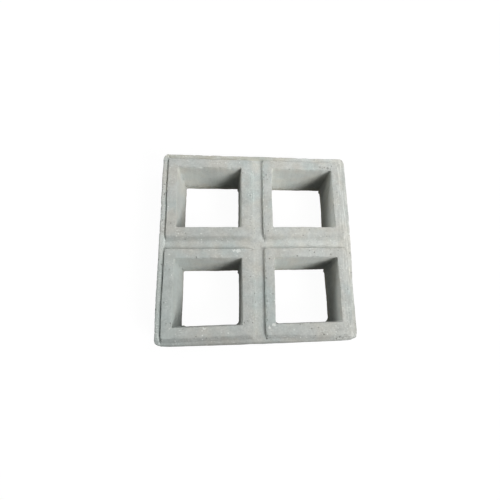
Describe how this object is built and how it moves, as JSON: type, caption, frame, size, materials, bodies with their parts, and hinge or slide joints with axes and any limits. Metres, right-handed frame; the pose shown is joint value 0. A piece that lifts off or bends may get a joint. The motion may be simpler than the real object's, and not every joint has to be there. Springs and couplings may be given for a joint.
{
  "type": "square concrete ventilation block",
  "caption": "Square concrete screen block for ventilation: tapered square openings through it, a raised rim round each on the face, cross channel between them.",
  "frame": {"origin": "centre of the back, which the block lies on", "axes": "+Z through the openings, from the back to the rimmed face; +X and +Y along the sides of the square"},
  "size_m": [0.2, 0.2, 0.05],
  "materials": {
    "concrete": "matt cast concrete, pale grey"
  },
  "bodies": {
    "root": {"vent_block": "concrete"}
  },
  "joints": []
}
